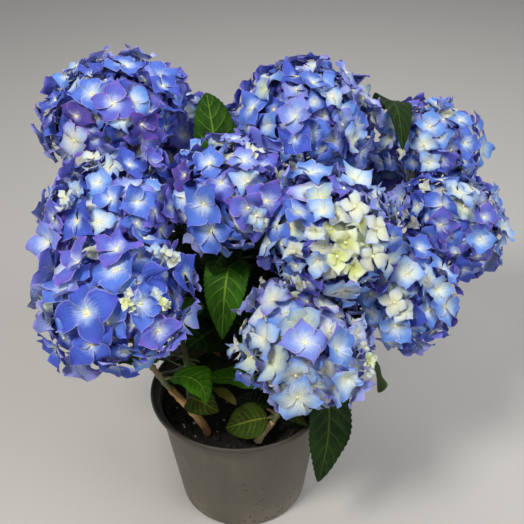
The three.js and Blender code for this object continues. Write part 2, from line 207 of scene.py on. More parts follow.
def addShells(shape, front, back, frontSlots, backSlots):
    # many thin shells: front and back are grids of points for each, slots one number for each
    count, rows, columns = len(front), front.shape[1] - 1, front.shape[2] - 1
    points, faces = shellPoints(front, back), lens(rows, columns)
    isBack = np.arange(len(faces)) >= len(faces) // 2
    slots = np.where(isBack, backSlots[:, None], frontSlots[:, None]).ravel()
    places = np.meshgrid(np.linspace(0, 1, rows + 1), np.linspace(0, 1, columns + 1), indexing="ij")
    places = np.stack(places, axis=-1)
    faces = faces + np.arange(count)[:, None, None] * points.shape[1]
    shape.add(points, (faces, slots), pattern=np.tile(shellPoints(places, places), (count, 1)))


def addRings(shape, points, rows, sides, slots=0, downwards=False):
    # many bodies of rings of points, closed to the last two points at either end; slots is one number
    # for each. Rings that run downwards are wound the other way.
    index = np.arange(rows * sides).reshape(rows, sides)
    onward = np.roll(index, -1, axis=1)
    foot = np.stack([np.full(sides, index.size), onward[0], index[0]], axis=1)
    tip = np.stack([np.full(sides, index.size + 1), index[-1], onward[-1]], axis=1)
    walls = np.stack([index[:-1], onward[:-1], onward[1:], index[1:]], axis=-1).reshape(-1, 4)
    offsets = np.arange(len(points))[:, None, None] * (index.size + 2)
    parts = []
    for faces in (np.concatenate([foot, tip]), walls):
        faces = np.roll(faces[:, ::-1], 1, axis=1) if downwards else faces
        parts.append((faces + offsets, np.repeat(np.broadcast_to(slots, len(points)), len(faces))))
    shape.add(points, *parts)


def addTubes(shape, paths, radii, sides, slots=0):
    # round tubes with closed ends along paths. Paths are points for each tube, radii one for each
    # point. Each ring lies square to the path, turned by carrying one cross direction along it.
    along = unit(np.gradient(paths, axis=1))
    across = np.cross(along[:, 0], [0.31, 0.87, 0.38])
    frames = []
    for ahead in along.swapaxes(0, 1):
        across = unit(across - np.sum(across * ahead, axis=1, keepdims=True) * ahead)
        frames.append(across)
    across = np.stack(frames, axis=1)
    turn = circle(sides)[:, None]
    ring = across[:, :, None] * np.cos(turn) + np.cross(along, across)[:, :, None] * np.sin(turn)
    rings = (paths[:, :, None] + ring * radii[:, :, None, None]).reshape(len(paths), -1, 3)
    addRings(shape, np.concatenate([rings, paths[:, [0, -1]]], axis=1), paths.shape[1], sides, slots)


def addLumps(shape, places, sizes, seeds, slots=0, rings=4, sides=6, uneven=0.35):
    # many small rounded lumps: a sphere's rings, each point moved in or out by chance
    polar, turn = np.meshgrid(np.arange(1, rings) / rings * np.pi, circle(sides), indexing="ij")
    wall = np.stack([np.sin(polar) * np.cos(turn), np.sin(polar) * np.sin(turn), np.cos(polar)], axis=-1)
    ball = np.concatenate([wall.reshape(-1, 3), [[0, 0, 1], [0, 0, -1]]])
    rough = 1 + uneven * (chance(np.arange(len(ball)), seeds[:, None]) - 0.5)
    points = places[:, None] + ball * rough[..., None] * sizes[:, None]
    addRings(shape, points, rings - 1, sides, slots, downwards=True)


class Signal:
    # a value in a node tree; arithmetic on it adds nodes
    def __init__(self, socket):
        self.socket, self.tree = socket, socket.id_data

    def maths(self, operation, *others):
        return put(self.tree, "Math", dict(enumerate([self, *others])), operation=operation)

    def __add__(self, other):
        return self.maths("ADD", other)

    def __sub__(self, other):
        return self.maths("SUBTRACT", other)

    def __mul__(self, other):
        return self.maths("MULTIPLY", other)

    def __truediv__(self, other):
        return self.maths("DIVIDE", other)

    def __pow__(self, other):
        return self.maths("POWER", other)

    def __abs__(self):
        return self.maths("ABSOLUTE")

    def most(self, other):
        return self.maths("MAXIMUM", other)

    def ramp(self, low, high, first=0.0, second=1.0):
        inputs = {"Value": self, "From Min": low, "From Max": high, "To Min": first, "To Max": second}
        return put(self.tree, "MapRange", inputs, interpolation_type="SMOOTHSTEP")

    def ridge(self):
        # half at each whole number, down to nothing midway between them
        return abs(self.maths("FRACT") - 0.5)


def join(value, socket):
    if isinstance(value, Signal):
        value.tree.links.new(value.socket, socket)
    else:
        socket.default_value = value


def put(tree, kind, inputs, output=0, **settings):
    made = tree.nodes.new("ShaderNode" + kind)
    for key, value in settings.items():
        setattr(made, key, value)
    for key, value in inputs.items():
        join(value, made.inputs[key])
    return Signal(made.outputs[output])


def blend(share, first, second):
    tree = next(value.tree for value in (share, first, second) if isinstance(value, Signal))
    return put(tree, "Mix", {0: share, 6: first, 7: second}, 2, data_type="RGBA")


def makeGroup(name, inputs, outputs):
    # inputs and outputs are the sockets' labels, by kind
    group = bpy.data.node_groups.new(name, "ShaderNodeTree")
    for side, sockets in (("INPUT", inputs), ("OUTPUT", outputs)):
        for kind, labels in sockets.items():
            for label in labels.split():
                group.interface.new_socket(label, in_out=side, socket_type="NodeSocket" + kind)
    start, end = group.nodes.new("NodeGroupInput"), group.nodes.new("NodeGroupOutput")
    into = {socket.name: Signal(socket) for socket in start.outputs}
    return group, into, lambda label, value: join(value, end.inputs[label])


def useGroup(tree, group, inputs):
    made = put(tree, "Group", inputs, node_tree=group).socket.node
    return {socket.name: Signal(socket) for socket in made.outputs}


def newMaterial(name):
    material = bpy.data.materials.new(name)
    material.use_nodes = True
    return material, material.node_tree


def dress(material, color, roughness, height=None, relief=0.0, strength=1.0, shine=0.5):
    # the shader's colour, roughness and shine, and a bump with its relief in metres
    sockets = {"Base Color": color, "Roughness": roughness, "Specular IOR Level": shine}
    if height:
        inputs = {"Height": height, "Distance": relief, "Strength": strength}
        sockets["Normal"] = put(material.node_tree, "Bump", inputs)
    for label, value in sockets.items():
        join(value, material.node_tree.nodes["Principled BSDF"].inputs[label])
    return material


def startPattern(name, colors, values, scale, detail):
    # a group over a petal or leaf: its place, how far aside of the midrib it is, and a soft noise
    inputs = {"Float": "Along Across " + values, "Color": colors}
    group, into, out = makeGroup(name, inputs, {"Color": "Color", "Float": "Height"})
    place = put(group, "CombineXYZ", {0: into["Along"], 1: into["Across"]})
    wander = put(group, "TexNoise", {"Vector": place, "Scale": scale, "Detail": detail})
    return group, into, out, place, abs(into["Across"] * 2.0 - 1.0), wander


def petalPattern():
    # pale from the eye outwards in the shape of a fan, with fine veins, and flushed at the edge, with a thin
    # pale margin as a painted highlight
    group, into, out, place, aside, wander = startPattern(
        "petalPattern", "Eye Throat Body Edge", "Reach Flush", 4.0, 2.0
    )
    along, throat = into["Along"], into["Throat"]
    fan = into["Across"] * 9.0 + wander * 1.4
    veined = fan.ridge().ramp(0.0, 0.22, 1.0, 0.0) * along.ramp(0.95, 0.3)
    fade = along - veined * 0.06 + aside * 0.12 + (wander * 0.3 - 0.15)
    pale = (fade / into["Reach"]).ramp(0.1, 1.3, 1.0, 0.0)
    rim = (aside**2.5).most(along**2.2)
    # painted highlight: a thin pale line along the petal's sides and tip, blended towards the throat colour
    paintedEdgeHighlight = aside.ramp(0.86, 0.97).most(along.ramp(0.92, 0.99))
    color = blend(rim.ramp(0.15, 0.95) * into["Flush"], into["Body"], into["Edge"])
    color = blend(pale, color, throat)
    color = blend(veined * 0.08, color, throat)
    color = blend(along.ramp(0.16, 0.04), color, into["Eye"])
    out("Color", blend(paintedEdgeHighlight * 0.3, color, throat))
    out("Height", wander - veined * 0.7)
    return group


def leafPattern():
    # a pale midrib, side veins that sweep towards the tip, a fine net between them, and a quilted blade
    group, into, out, place, aside, wander = startPattern(
        "leafPattern", "Blade Bright Vein", "Veins", 5.0, 3.0
    )
    sweep = into["Along"] - aside**1.25 * 0.2 + wander * 0.03
    wave = (sweep * 8.0).ridge()
    side = wave.ramp(0.0, 0.09, 1.0, 0.0) * aside.ramp(1.0, 0.5)
    rib = aside.ramp(0.03, 0.075, 1.0, 0.0)
    net = put(group, "TexVoronoi", {"Vector": place, "Scale": 34.0}, feature="DISTANCE_TO_EDGE")
    net = net.ramp(0.0, 0.09, 1.0, 0.0)
    lines = rib.most(side * 0.75).most(net * 0.12)
    color = blend(wander.ramp(0.35, 0.65), into["Blade"], into["Bright"])
    out("Color", blend(lines * into["Veins"], color, into["Vein"]))
    out("Height", wave.ramp(0.0, 0.4) - net * 0.25 - rib)
    return group


def mottlePattern():
    # two colours in soft patches of a given size, with a fine grain, on Object coordinates
    group, into, out = makeGroup(
        "mottle", {"Vector": "Place", "Color": "First Second", "Float": "Patches Grain"},
        {"Color": "Color", "Float": "Mask Height"},
    )
    inputs = {"Vector": into["Place"], "Scale": into["Patches"], "Detail": 4.0, "Roughness": 0.6}
    patches = put(group, "TexNoise", inputs)
    grain = put(group, "TexNoise", {"Vector": into["Place"], "Scale": into["Grain"], "Detail": 2.0})
    mask = (patches + grain * 0.2).ramp(0.42, 0.78)
    out("Color", blend(mask, into["First"], into["Second"]))
    out("Mask", mask)
    out("Height", patches * 0.5 + grain)
    return group


# The colours below are as seen on a screen, 0 to 255.
cream, lime = (246, 240, 190), (222, 222, 120)
# petal tints: eye, throat, body and edge colours, how far the pale throat reaches, how much the edge shows
petalTints = {
    "deep": (cream, (180, 200, 238), (68, 94, 194), (80, 74, 180), 0.36, 0.75),
    "blue": (cream, (208, 224, 242), (84, 120, 210), (88, 94, 200), 0.44, 0.75),
    "sky": (cream, (224, 234, 240), (104, 150, 222), (98, 122, 214), 0.52, 0.7),
    "violet": (cream, (198, 208, 238), (92, 104, 200), (120, 86, 186), 0.4, 0.9),
    "lavender": (cream, (218, 228, 240), (122, 146, 218), (132, 112, 204), 0.48, 0.85),
    "pale": (cream, (236, 242, 224), (148, 184, 228), (110, 136, 218), 0.64, 0.9),
    "mint": (cream, (228, 236, 196), (154, 180, 198), (114, 140, 212), 0.62, 0.85),
    "cream": (lime, (236, 236, 200), (204, 216, 216), (146, 166, 216), 0.74, 0.8),
    "lime": (lime, (220, 228, 132), (228, 233, 196), (192, 208, 208), 0.66, 0.75),
    "plum": (cream, (168, 162, 212), (80, 72, 160), (104, 62, 150), 0.32, 0.9),
    "blush": (cream, (238, 240, 222), (160, 184, 226), (138, 114, 208), 0.6, 1.0),
}
backTints = {
    "backBlue": ((204, 210, 232), (144, 156, 224), (110, 122, 216), (134, 118, 210), 0.5, 0.9),
    "backPale": ((224, 230, 222), (190, 202, 232), (150, 164, 228), (162, 148, 222), 0.6, 0.8),
}
tintNames = [*petalTints, *backTints]
# leaf tints: two colours of the blade, the veins' colour, and how much the veins show
leafTints = {
    "dark": ((15, 36, 6), (25, 52, 10), (68, 94, 32), 0.75),
    "mid": ((28, 62, 8), (46, 88, 14), (106, 140, 44), 0.9),
    "fresh": ((38, 84, 10), (58, 110, 18), (126, 164, 54), 0.9),
    "bright": ((62, 128, 14), (88, 156, 24), (162, 198, 70), 0.9),
    "olive": ((42, 64, 12), (60, 82, 16), (138, 146, 48), 0.9),
    "yellow": ((126, 128, 50), (156, 136, 70), (176, 158, 100), 0.7),
    "under": ((80, 110, 62), (98, 128, 74), (140, 162, 104), 0.9),
}
leafNames = list(leafTints)
# the others: two colours, how fine the patches and the grain are, roughness, relief in metres, how long
# the patches are drawn out upwards, and the damp colour of bark where it stands in the compost
plainTints = {
    "green_stem": ((92, 124, 62), (120, 96, 74), 60, 900, 0.5, 0.0003),
    "flower_stalk": ((150, 166, 128), (140, 140, 190), 90, 900, 0.6, 0.0002),
    "eye_bead": ((250, 244, 196), (232, 232, 220), 300, 1500, 0.5, 0.0002),
    "cane_bark": ((222, 176, 116), (158, 112, 66), 90, 700, 0.75, 0.0008, 0.25, (70, 46, 30)),
    "pale_bark": ((238, 216, 164), (186, 156, 108), 90, 700, 0.75, 0.0008, 0.25),
    "dark_compost": ((19, 16, 12), (36, 31, 25), 160, 900, 0.95, 0.002),
    "compost_crumb": ((24, 20, 16), (58, 48, 39), 260, 1200, 0.95, 0.001),
    "perlite": ((214, 210, 200), (176, 170, 158), 300, 1500, 0.85, 0.0005),
}
petalLook = {"labels": "Eye Throat Body Edge Reach Flush", "relief": 0.0007, "shine": 0.16}
leafLook = {"labels": "Blade Bright Vein Veins", "relief": 0.0009, "shine": 0.14}
petalGroup, leafGroup, mottleGroup = petalPattern(), leafPattern(), mottlePattern()


def bladeMaterial(name, group, look, values, roughness):
    # the pattern's first number is how far along a petal or leaf a point lies, its second how far across
    material, tree = newMaterial(name)
    place = put(tree, "UVMap", {}, uv_map="pattern")
    inputs = {
        label: put(tree, "SeparateXYZ", {0: place}, axis) for axis, label in enumerate(["Along", "Across"])
    }
    for label, value in zip(look["labels"].split(), values):
        inputs[label] = tone(*value) if isinstance(value, tuple) else value
    made = useGroup(tree, group, inputs)
    return dress(material, made["Color"], roughness, made["Height"], look["relief"], 0.8, look["shine"])


petalMaterials = [
    bladeMaterial("petal_" + name, petalGroup, petalLook, values, 0.7 if name in backTints else 0.55)
    for name, values in {**petalTints, **backTints}.items()
]
leafMaterials = [
    bladeMaterial("leaf_" + name, leafGroup, leafLook, values, 0.62 if name == "under" else 0.5)
    for name, values in leafTints.items()
]


def useMottle(tree, place, first, second, patches, grain):
    return useGroup(tree, mottleGroup, {
        "Place": place, "First": tone(*first), "Second": tone(*second), "Patches": patches, "Grain": grain,
    })


def plainMaterial(name, first, second, patches, grain, roughness, relief, drawn=1.0, damp=None):
    material, tree = newMaterial(name)
    coordinates = put(tree, "TexCoord", {}, "Object")
    place = put(tree, "Mapping", {"Vector": coordinates, "Scale": (1, 1, drawn)})
    made = useMottle(tree, place, first, second, patches, grain)
    color = made["Color"]
    if damp:
        height = put(tree, "SeparateXYZ", {0: coordinates}, 2)
        color = blend(height.ramp(0.132, 0.156, 0.65, 0.0), color, tone(*damp))
    return dress(material, color, roughness, made["Height"], relief)


plain = {name: plainMaterial(name, *plan) for name, plan in plainTints.items()}


def potMaterial():
    # grey-brown plastic: cloudy, streaked down the wall, darker at the rim as painted shade, dusty and
    # specked at the foot
    material, tree = newMaterial("nursery_plastic")
    place = put(tree, "TexCoord", {}, "Object")
    height = put(tree, "SeparateXYZ", {0: place}, 2)
    cloud = useMottle(tree, place, (89, 84, 71), (104, 99, 84), 16, 500)
    streaks = put(tree, "Mapping", {"Vector": place, "Scale": (1, 1, 0.12)})
    streak = useMottle(tree, streaks, (97, 92, 78), (77, 73, 61), 70, 240)
    color = blend(0.35, cloud["Color"], streak["Color"])
    # painted shade: from just under the lip up to the top the rim blends towards a dark brown-grey
    color = blend(height.ramp(0.1325, 0.1345, 0.0, 0.8), color, tone(64, 57, 49))
    color = blend(height.ramp(0.05, 0.0) * cloud["Mask"] * 0.5, color, tone(150, 140, 120))
    spots = put(tree, "TexVoronoi", {"Vector": place, "Scale": 150.0}, feature="F1")
    dirty = put(tree, "TexNoise", {"Vector": place, "Scale": 22.0, "Detail": 3.0})
    dirty = dirty + height.ramp(0.06, 0.0, 0.0, 0.14)
    speck = spots.ramp(0.16, 0.3, 1.0, 0.0) * dirty.ramp(0.56, 0.66)
    color = blend(speck * 0.8, color, tone(46, 40, 34))
    rough, bumps = cloud["Mask"] * 0.14 + 0.44, cloud["Height"] + streak["Height"]
    return dress(material, color, rough, bumps, 0.0003, 0.6)


# The pot: sizes in mm, and how far its edges are rounded
pot = {
    "height": 142, "rimRadius": 95, "lipDepth": 8, "shoulderRadius": 87, "baseRadius": 69, "wall": 2,
    "floor": 3, "sides": 160, "fillet": 1.0,
}


def turnedShape(outline, sides, shift=None):
    # an outline of (radius, height) turned about the pot's axis, closed at both ends on the axis
    outline = np.array(outline, float)
    turn, (radius, height) = circle(sides), outline[1:-1].T[..., None]
    points = np.stack([radius * np.cos(turn), radius * np.sin(turn), height + 0 * turn], axis=-1)
    points = shift(points) if shift else points
    ends = [[0, 0, outline[0, 1]], [0, 0, outline[-1, 1]]]
    shape = Shape()
    addRings(shape, np.concatenate([points.reshape(-1, 3), ends])[None], len(outline) - 2, sides)
    return shape


def rounded(outline, radius, steps=3):
    # the outline with each inner corner cut by a short curve, which starts within half a side of it
    outline = np.array(outline, float)
    made = [outline[:1]]
    for before, corner, after in zip(outline, outline[1:], outline[2:]):
        sides = np.stack([before - corner, after - corner])
        reach = min(radius, 0.45 * np.linalg.norm(sides, axis=1).min())
        start, end = corner + unit(sides) * reach
        made.append(bezier([start, corner, end], np.linspace(0, 1, steps + 1)))
    return np.concatenate([*made, outline[-1:]])


def buildPot(plan):
    height, rim, lip, wall = plan["height"], plan["rimRadius"], plan["lipDepth"], plan["wall"]
    shoulder, base, floor = plan["shoulderRadius"], plan["baseRadius"], plan["floor"]
    outline = [
        (0, 0), (base - 3, 0), (base, 3), (shoulder, height - lip), (rim - wall / 2, height - lip + wall),
        (rim, height - wall), (rim - wall / 2, height), (rim - wall * 1.5, height),
        (rim - wall * 2, height - lip + wall), (shoulder - wall, height - lip - wall / 2),
        (base - wall, floor), (0, floor),
    ]
    shape = turnedShape(rounded(outline, plan["fillet"]), plan["sides"])
    makePiece("pot_shell", shape, [potMaterial()], ["pot"], sharp=50)


buildPot(pot)

compost = {
    "top": 127, "crown": 4, "gap": 0.3, "rings": 26, "sides": 96, "rise": 3.0,
    "crumbs": 620, "crumbSize": (0.9, 3.0), "perlite": 46, "perliteSize": (0.8, 1.9), "turn": 2.399963,
}


def lumpy(x, y):
    # a soft uneven height, from waves that cross at odd angles
    waves = np.sin(x * 0.11 + 1.3 * np.sin(y * 0.07)) + np.sin(y * 0.13 + 1.7 * np.sin(x * 0.09 + 2))
    return waves * 0.25 + 0.35 * np.sin(x * 0.37 + 2 * np.sin(y * 0.31)) * np.sin(y * 0.41 + 1)


def buildCompost(plan):
    # level at the pot's wall, domed and lumpy inside it, with crumbs and perlite lying on it
    slope = (pot["shoulderRadius"] - pot["baseRadius"]) / (pot["height"] - pot["lipDepth"] - pot["floor"])
    low, edge = pot["floor"] + plan["gap"], plan["top"] - plan["crown"]
    inner = lambda level: pot["baseRadius"] - pot["wall"] - 1.5 * plan["gap"] + slope * (level - pot["floor"])
    wide = inner(edge)
    reach = np.linspace(1, 0, plan["rings"] + 1)[:-1] * wide
    crown = [(r, edge + plan["crown"] * (1 - (r / wide) ** 6)) for r in reach]
    inside = lambda away: np.clip((1 - away / wide) * 10, 0, 1)

    def shift(points):
        x, y, level = np.moveaxis(points, -1, 0)
        away = inside(np.hypot(x, y))
        level += np.where(level > low + 1, lumpy(x, y) * away * plan["rise"] - away, 0)
        return points

    shape = turnedShape([(0, low), (inner(low), low), *crown, (0, plan["top"])], plan["sides"], shift)
    index = np.arange(plan["crumbs"] + plan["perlite"])
    away = wide * 0.97 * np.sqrt(chance(index, 1))
    turn = index * plan["turn"] + chance(index, 2)
    x, y = away * np.cos(turn), away * np.sin(turn)
    white, dice = index >= plan["crumbs"], chance(index, 3)
    size = np.where(white, between(*plan["perliteSize"], dice), between(*plan["crumbSize"], dice**2))
    level = plan["top"] - 1 + lumpy(x, y) * plan["rise"] * inside(away)
    flat = [1 + 0 * size, between(0.7, 1, chance(index, 4)), between(0.5, 0.8, chance(index, 5))]
    sizes = size[:, None] * np.stack(flat, axis=1)
    addLumps(shape, np.stack([x, y, level], axis=1), sizes, index, np.where(white, 2, 1))
    materials = [plain[name] for name in ("dark_compost", "compost_crumb", "perlite")]
    makePiece("compost_surface", shape, materials, ["compost"])


buildCompost(compost)

# each cane: its foot and tip seen from above, and the tip's height
canes = {
    "front_left": ([-33, -57], [-65, -60], 191),
    "front_right": ([18, -68], [33, -66], 152),
    "rear_left": ([-22, 18], [-32, 24], 214),
    "rear_right": ([24, 12], [36, 22], 206),
}
cane = {
    "footRadius": 3.9, "tipRadius": 3.3, "rise": 0.2, "sides": 24, "rings": 48, "relief": 0.35,
    "pale": "front_right",
}
# each head: its cane, how far below the cane's tip its shoot leaves, its place (bearing, reach, height),
# half width and squatness, and lean (degrees, bearing)
heads = {
    "top_left": ("rear_left", 0, (-50, 154, 411), (80, 0.7), (16, -60)),
    "mid_left": ("front_left", 18, (-95, 114, 353), (76, 0.72), (30, -115)),
    "front_left": ("front_left", 0, (-131, 132, 316), (77, 0.74), (20, -160)),
    "top_centre": ("rear_right", 0, (34, 127, 392), (77, 0.9), (20, 150)),
    "centre": ("rear_left", 16, (-90, 2, 369), (63, 0.93), (20, 190)),
    "centre_front": ("rear_right", 22, (108, 89, 343), (70, 0.84), (30, 170)),
    "bottom_front": ("front_right", 0, (140, 98, 255), (69, 0.82), (25, 150)),
    "top_right": ("rear_right", 36, (58, 239, 354), (60, 0.92), (25, 70)),
    "mid_right": ("rear_right", 48, (73, 224, 299), (68, 0.85), (40, 85)),
    "low_right": ("front_right", 12, (97, 161, 273), (61, 0.84), (60, 120)),
    "rear_left": ("rear_left", 32, (-16, 214, 325), (74, 0.76), (35, -20)),
    "rear_right": ("rear_right", 60, (36, 240, 272), (75, 0.76), (45, 30)),
}
shoot = {
    "footRadius": 3.0, "tipRadius": 2.4, "nodes": (0.14, 0.28, 0.42, 0.56, 0.7, 0.84), "climb": 0.75,
    "seat": 0.7, "leaving": 0.3, "arriving": 0.36, "gap": 0.3, "sides": 10, "rings": 60, "knot": 0.35,
    "knotLength": 0.012, "coreShare": 0.76, "neck": 14,
}
leaf = {
    "length": 108, "width": 70, "sizes": (0.8, 1.14), "petiole": 0.2, "petioleRadius": 1.6,
    "fullness": (0.8, 0.75), "rise": (34, 48), "dip": 5.5, "archShare": 0.55, "droop": (18, 34),
    "swing": (20, 14), "shrink": 0.05, "tests": 15, "testSides": (-1, -0.67, -0.33, 0, 0.33, 0.67, 1),
    "limbTests": 24, "tries": 13, "room": 5.5, "headRoom": 8, "limbRoom": 7.5, "ownRoom": 3, "potRoom": 6,
    "lowest": 165, "slant": 57, "lee": 0.86, "darkShare": 0.6,
}
# the finer growths between them: their nodes, sizes, room from other leaves and from heads, and tries
twig = {
    "nodes": (0.2, 0.33, 0.48, 0.62, 0.77, 0.9), "sizes": (0.42, 0.7), "room": 3.5, "headRoom": 3, "tries": 9,
}
spray = {
    "nodes": (0.26, 0.4, 0.55, 0.7, 0.84), "sizes": (0.5, 0.8), "room": 2.2, "headRoom": 1.5, "tries": 12,
}
# the seed of each random draw for a leaf
salt = {"tint": 3, "leafSize": 5, "droop": 7, "swing": 11, "rise": 31}
# leaves that show between the heads: shoot, share of it, arch, tip, (width, stalk share), tint
# the dark and bright tints here are partly the leaves' own greens and partly painted light: dark where a leaf
# lies in shade, bright where it lies in the light
leafPlan = [
    ("centre", 0.78, (-9, -26, 330), (-14, -45, 238), (44, 0.2), "fresh"),
    ("centre", 0.2, (-16, -14, 236), (-49, -42, 226), (58, 0.2), "dark"),
    ("bottom_front", 0.5, (-2, -58, 210), (-30, -62, 203), (34, 0.2), "bright"),
    ("front_left", 0.2, (-29, -76, 230), (-30, -82, 191), (42, 0.12), "bright"),
    ("mid_left", 0.02, (-44, -84, 205), (-19, -72, 171), (30, 0.1), "olive"),
    ("mid_left", 0.12, (-18, -60, 195), (-2, -74, 181), (15, 0.45), "yellow"),
    ("bottom_front", 0.1, (16, -78, 168), (-14, -66, 143), (36, 0.2), "olive"),
    ("bottom_front", 0.2, (50, -66, 162), (67, -72, 150), (20, 0.2), "olive"),
    ("low_right", 0.55, (100, -88, 205), (76, -102, 104), (48, 0.3), "dark"),
    ("low_right", 0.75, (150, 22, 170), (150, 24, 106), (60, 0.2), "dark"),
    ("centre", 0.42, (-18, 76, 395), (-26, 95, 430), (52, 0.3), "mid"),
    ("centre", 0.5, (-40, 14, 281), (-55, 34, 334), (44, 0.3), "dark"),
    ("top_centre", 0.45, (23, 50, 295), (8, 25, 241), (40, 0.25), "dark"),
    ("rear_right", 0.6, (169, 205, 482), (160, 51, 386), (36, 0.52), "dark"),
    ("mid_left", 0.5, (-150, 14, 300), (-206, -6, 252), (60, 0.2), "dark"),
]
shootNodes = ["leafy_shoot_" + name for name in heads]


def caneCurve(foot, tip, tipHeight):
    start, end = np.array([*foot, compost["top"] + compost["gap"]]), np.array([*tip, tipHeight], float)
    return np.array([start, [*foot, between(start[2], end[2], cane["rise"])], end])


def headPose(name):
    source, leave, (bearing, reach, height), (radius, squat), (lean, towards) = heads[name]
    centre = bearingVector(float(bearing)) * reach + [0, 0, height]
    axis = bearingVector(float(towards)) * np.sin(np.radians(lean)) + [0, 0, np.cos(np.radians(lean))]
    side = unit(np.cross(axis, [0, 1, 0]))
    return {
        "name": name, "cane": source, "leave": leave, "bearing": bearing, "radius": radius, "squat": squat,
        "centre": centre, "axis": axis, "side": side, "front": np.cross(axis, side),
    }


poses = {name: headPose(name) for name in heads}


def neckOf(one):
    return one["centre"] - one["axis"] * (one["radius"] * one["squat"] * shoot["coreShare"] + shoot["neck"])


def shootCurve(one):
    # from its cane's tip or side, up to the neck under its head
    stem = caneCurve(*canes[one["cane"]])
    walk = bezier(stem, np.linspace(0, 1, 201))
    share = 1 - one["leave"] / np.linalg.norm(np.diff(walk, axis=0), axis=1).sum()
    start, neck = bezier(stem, share)[0], neckOf(one)
    along = leaving = tangents(stem, share)[0]
    if one["leave"] > 0:
        outwards = neck - start
        outwards = unit(outwards - along * (outwards @ along))
        leaving = unit(along * shoot["climb"] + outwards)
        start = start + outwards * (cane["tipRadius"] + shoot["gap"] + shoot["footRadius"] * shoot["seat"])
    else:
        start = start + along * shoot["gap"]
    span = np.linalg.norm(neck - start)
    bows = start + leaving * span * shoot["leaving"], neck - one["axis"] * span * shoot["arriving"]
    return np.array([start, *bows, neck])


shoots = {name: shootCurve(one) for name, one in poses.items()}


def wallsOf(one):
    # planes that part a head from its neighbours, at a place and facing out of the head
    walls = []
    for other in poses.values():
        if other is not one:
            share = one["radius"] / (one["radius"] + other["radius"])
            facing = unit(other["centre"] - one["centre"])
            place = between(one["centre"], other["centre"], share) - facing * floret["wallGap"]
            walls.append((place, facing))
    return walls


def offsets(one, points):
    # a point's place from a head's middle, in its parts across and along the head's axis
    out = points - one["centre"]
    rise = (out @ one["axis"])[:, None] * one["axis"]
    return out - rise, rise


def shareOut(one, points):
    # how far out points lie, as a share of the head's outline
    across, rise = offsets(one, points)
    return np.linalg.norm(across + rise / one["squat"], axis=1) / one["radius"]


def headNormal(one, points):
    # square to the head's outline: the part along the axis grows by one over squatness squared
    across, rise = offsets(one, points)
    return unit(across + rise / one["squat"] ** 2)


# Leaves grow by the model's rule, written again here.
def leafHalfWidth(share, width, petiole):
    blade = np.clip((share - petiole) / (1 - petiole), 0, 1)
    along, across = leaf["fullness"]
    full = leaf["petioleRadius"] + width / 2 * np.clip(np.sin(np.pi * blade**along), 0, 1) ** across
    return np.where(blade <= 0, leaf["petioleRadius"], full)


def leafOf(root, arch, tip, width, petiole):
    controls = np.array([root, arch, tip], float)
    across = unit(np.cross(controls[2] - controls[1], controls[1] - controls[0]))
    return {"controls": controls, "across": across, "width": width, "petiole": petiole}


def leafPoints(grown):
    shares = np.arange(2, leaf["tests"]) / leaf["tests"]
    half = leafHalfWidth(shares, grown["width"], grown["petiole"])
    out = half[:, None, None] * np.array(leaf["testSides"])[None, :, None] * grown["across"]
    return (bezier(grown["controls"], shares)[:, None] + out).reshape(-1, 3)


limbTests = np.linspace(0, 1, leaf["limbTests"] + 1)
limbs = [("cane", bezier(caneCurve(*plan), limbTests)) for plan in canes.values()]
limbs += [(name, bezier(curve, limbTests)) for name, curve in shoots.items()]
limbs += [("neck", np.array([neckOf(one), one["centre"]])) for one in poses.values()]
placed, leaves = [np.full((1, 3), 1e6)], []


def nearHead(points, one):
    return shareOut(one, points) * one["radius"] < one["radius"] + leaf["headRoom"]


def underHead(points):
    # hidden by a head from a viewer who looks down at the plant from the front
    slant = np.radians(leaf["slant"])
    out = np.array([0, -np.sin(slant), np.cos(slant)])
    under = np.zeros(len(points), bool)
    for one in poses.values():
        offset = one["centre"] - points
        along = offset @ out
        away = np.linalg.norm(offset - along[:, None] * out, axis=1)
        under |= (along > 0) & (away < one["radius"] * leaf["lee"])
    return under


def nearPot(points):
    x, y, z = points.T
    reach = np.hypot(x, y)
    outside = (z < leaf["lowest"]) | ((y < 0) & ~underHead(points))
    rim, inside = (z < level + leaf["potRoom"] for level in (pot["height"], compost["top"]))
    overRim = reach > pot["baseRadius"] - leaf["potRoom"]
    return np.where(reach > pot["rimRadius"], outside, np.where(overRim, rim, inside))


def distances(points, others):
    # the least distance between two sets of points, of those near enough to matter for one leaf
    others = others[np.linalg.norm(others - points.mean(axis=0), axis=1) < leaf["length"]]
    return np.linalg.norm(points[:, None] - others[None], axis=2).min(initial=np.inf)


def hasRoom(points, name):
    if nearPot(points).any() or any(nearHead(points, one).any() for one in poses.values()):
        return False
    for limb, others in limbs:
        if distances(points, others) < (leaf["ownRoom"] if limb == name else leaf["limbRoom"]):
            return False
    return distances(points, np.concatenate(placed)) >= leaf["room"]


def keepLeaf(grown, serial, tint):
    placed.append(leafPoints(grown))
    leaves.append({**grown, "serial": serial, "tint": tint})


def growLeaf(name, share, bearing, serial):
    # turned further and lower at each try where its place is filled
    root, dice = bezier(shoots[name], share)[0], lambda key, attempt=0: chance(serial, salt[key] + attempt)
    for attempt in range(leaf["tries"]):
        swing = (leaf["swing"][0] + leaf["swing"][1] * attempt) * (2 * dice("swing", attempt) - 1)
        rise = np.radians(between(*leaf["rise"], dice("rise", attempt)) - leaf["dip"] * attempt)
        size = between(*leaf["sizes"], dice("leafSize")) * (1 - leaf["shrink"] * attempt)
        out = (bearingVector(bearing + swing) * np.cos(rise) + [0, 0, np.sin(rise)]) * leaf["length"] * size
        tip = root + out - [0, 0, between(*leaf["droop"], dice("droop"))]
        grown = leafOf(root, root + out * leaf["archShare"], tip, leaf["width"] * size, leaf["petiole"])
        if hasRoom(leafPoints(grown), name):
            keepLeaf(grown, serial, "dark" if dice("tint") < leaf["darkShare"] else "mid")
            return


